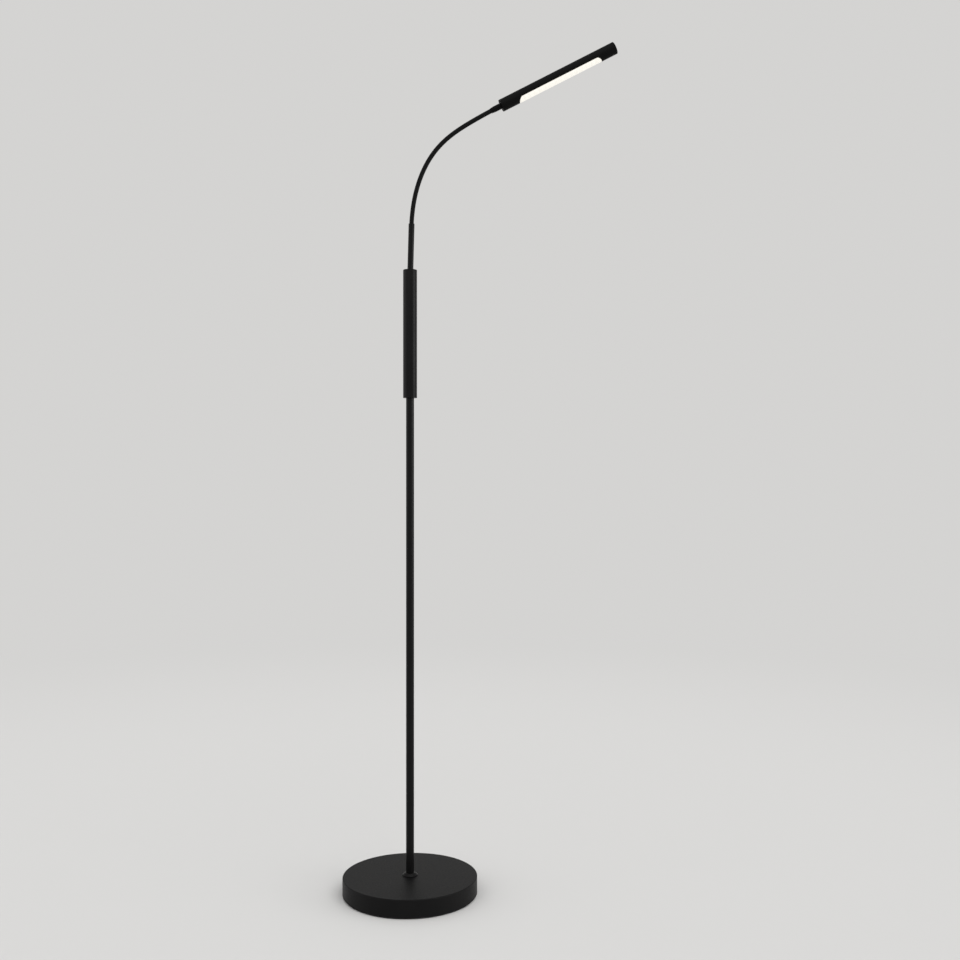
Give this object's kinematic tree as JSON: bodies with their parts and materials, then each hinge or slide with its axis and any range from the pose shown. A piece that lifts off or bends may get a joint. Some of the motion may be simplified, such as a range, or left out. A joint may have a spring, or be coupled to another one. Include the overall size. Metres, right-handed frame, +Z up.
{
  "type": "gooseneck reading floor lamp",
  "caption": "Slim black reading floor lamp with a weighted round base, a grip tube, a bendable gooseneck and a round bar head with an LED light strip.",
  "frame": {"origin": "centre of the foot pad's underside, on the floor, on the pole's axis", "axes": "+Z up along the pole; +X is the way the neck bends and the head reaches at rest; +Y is the lamp's back, with the button and the charge port"},
  "size_m": [0.4806, 0.235, 1.4896],
  "materials": {
    "base_powder_coat": "fine matte black powder coat on steel",
    "pole_powder_coat": "satin black powder coat on steel tube",
    "grip_powder_coat": "satin black powder coat on aluminium",
    "head_powder_coat": "satin black powder coat on aluminium",
    "neck_hose": "black steel hose under a thin black sleeve",
    "cast_weight": "rough cast",
    "plain_steel": "zinc plated",
    "heat_bar_metal": "mill finish",
    "foot_rubber": "matte",
    "black_plastic": "fine moulded texture",
    "board_laminate": "satin solder mask",
    "led_laminate": "white solder mask",
    "led_phosphor": "clear over phosphor",
    "cell_wrap": "shrink wrap",
    "contact_metal": "nickel plated",
    "lead_jacket": "matte",
    "diffuser_acrylic": "milky, softly glossy"
  },
  "bodies": {
    "stand": {"foot_pad": "foot_rubber", "plate_screws": "plain_steel", "base_bottom_plate": "plain_steel", "base_weight": "cast_weight", "base_cover": "base_powder_coat", "base_washer": "plain_steel", "base_bolt": "plain_steel", "pole_foot_insert": "plain_steel", "pole_lower": "pole_powder_coat", "pole_coupler": "plain_steel", "pole_upper": "pole_powder_coat", "pole_collar": "pole_powder_coat", "grip_bottom_cap": "grip_powder_coat", "grip_set_screw": "plain_steel", "grip_tube": "grip_powder_coat", "grip_top_cap": "grip_powder_coat", "battery_contact_lower": "contact_metal", "battery_cell_lower": "cell_wrap", "battery_cell_upper": "cell_wrap", "battery_contact_upper": "contact_metal", "battery_liner": "black_plastic", "board_carrier": "black_plastic", "control_board": "board_laminate", "charge_port": "contact_metal", "switch_body": "black_plastic", "neck_sleeve": "pole_powder_coat", "sleeve_nut": "plain_steel", "neck_link_root": "neck_hose", "neck_lead": "lead_jacket", "supply_lead": "lead_jacket"},
    "neck_01": {"neck_link_01": "neck_hose"},
    "neck_02": {"neck_link_02": "neck_hose"},
    "neck_03": {"neck_link_03": "neck_hose"},
    "neck_04": {"neck_link_04": "neck_hose"},
    "neck_05": {"neck_link_05": "neck_hose"},
    "neck_06": {"neck_link_06": "neck_hose"},
    "neck_07": {"neck_link_07": "neck_hose"},
    "neck_08": {"neck_link_08": "neck_hose"},
    "neck_09": {"neck_link_09": "neck_hose"},
    "neck_10": {"neck_link_10": "neck_hose"},
    "neck_11": {"neck_link_11": "neck_hose"},
    "head": {"neck_link_tip": "neck_hose", "head_ferrule": "head_powder_coat", "head_rear_cap": "head_powder_coat", "ferrule_nut": "plain_steel", "head_end_cap": "head_powder_coat", "head_housing": "head_powder_coat", "heat_bar": "heat_bar_metal", "led_board": "led_laminate", "board_screws": "plain_steel", "led_chips": "led_phosphor", "diffuser": "diffuser_acrylic", "head_lead": "lead_jacket"},
    "power_button": {"power_button": "black_plastic", "switch_plunger": "black_plastic"}
  },
  "joints": [
    {"name": "neck_bend_01", "type": "hinge", "parent": "stand", "child": "neck_01", "pos_m": [0.00282, 0, 1.17846], "axis": [0, 1, 0], "range_deg": [-29, 21], "deforming": ["neck_lead"]},
    {"name": "neck_sideways_02", "type": "hinge", "parent": "neck_01", "child": "neck_02", "pos_m": [0.00495, 0, 1.20066], "axis": [-0.9906, 0, 0.1366], "range_deg": [-25, 25]},
    {"name": "neck_bend_03", "type": "hinge", "parent": "neck_02", "child": "neck_03", "pos_m": [0.0089, 0, 1.22261], "axis": [0, 1, 0], "range_deg": [-30.2, 19.8]},
    {"name": "neck_sideways_04", "type": "hinge", "parent": "neck_03", "child": "neck_04", "pos_m": [0.01482, 0, 1.24411], "axis": [-0.95, 0, 0.3123], "range_deg": [-25, 25]},
    {"name": "neck_bend_05", "type": "hinge", "parent": "neck_04", "child": "neck_05", "pos_m": [0.02282, 0, 1.26493], "axis": [0, 1, 0], "range_deg": [-31.6, 18.4]},
    {"name": "neck_sideways_06", "type": "hinge", "parent": "neck_05", "child": "neck_06", "pos_m": [0.03315, 0, 1.28469], "axis": [-0.8526, 0, 0.5225], "range_deg": [-25, 25]},
    {"name": "neck_bend_07", "type": "hinge", "parent": "neck_06", "child": "neck_07", "pos_m": [0.04607, 0, 1.30287], "axis": [0, 1, 0], "range_deg": [-33.4, 16.6]},
    {"name": "neck_sideways_08", "type": "hinge", "parent": "neck_07", "child": "neck_08", "pos_m": [0.0615, 0, 1.31896], "axis": [-0.6737, 0, 0.739], "range_deg": [-25, 25]},
    {"name": "neck_bend_09", "type": "hinge", "parent": "neck_08", "child": "neck_09", "pos_m": [0.07895, 0, 1.33284], "axis": [0, 1, 0], "range_deg": [-30.4, 19.6]},
    {"name": "neck_sideways_10", "type": "hinge", "parent": "neck_09", "child": "neck_10", "pos_m": [0.09763, 0, 1.34502], "axis": [-0.5262, 0, 0.8504], "range_deg": [-25, 25]},
    {"name": "neck_bend_11", "type": "hinge", "parent": "neck_10", "child": "neck_11", "pos_m": [0.11687, 0, 1.35631], "axis": [0, 1, 0], "range_deg": [-26.4, 23.6]},
    {"name": "neck_sideways_12", "type": "hinge", "parent": "neck_11", "child": "head", "pos_m": [0.13637, 0, 1.36712], "axis": [-0.4695, 0, 0.8829], "range_deg": [-25, 25]},
    {"name": "power_button_press", "type": "slide", "parent": "stand", "child": "power_button", "axis": [0, -1, 0], "range_m": [0, 0.0005], "stiffness_N_per_m": 1200, "springref_m": -0.0012}
  ]
}
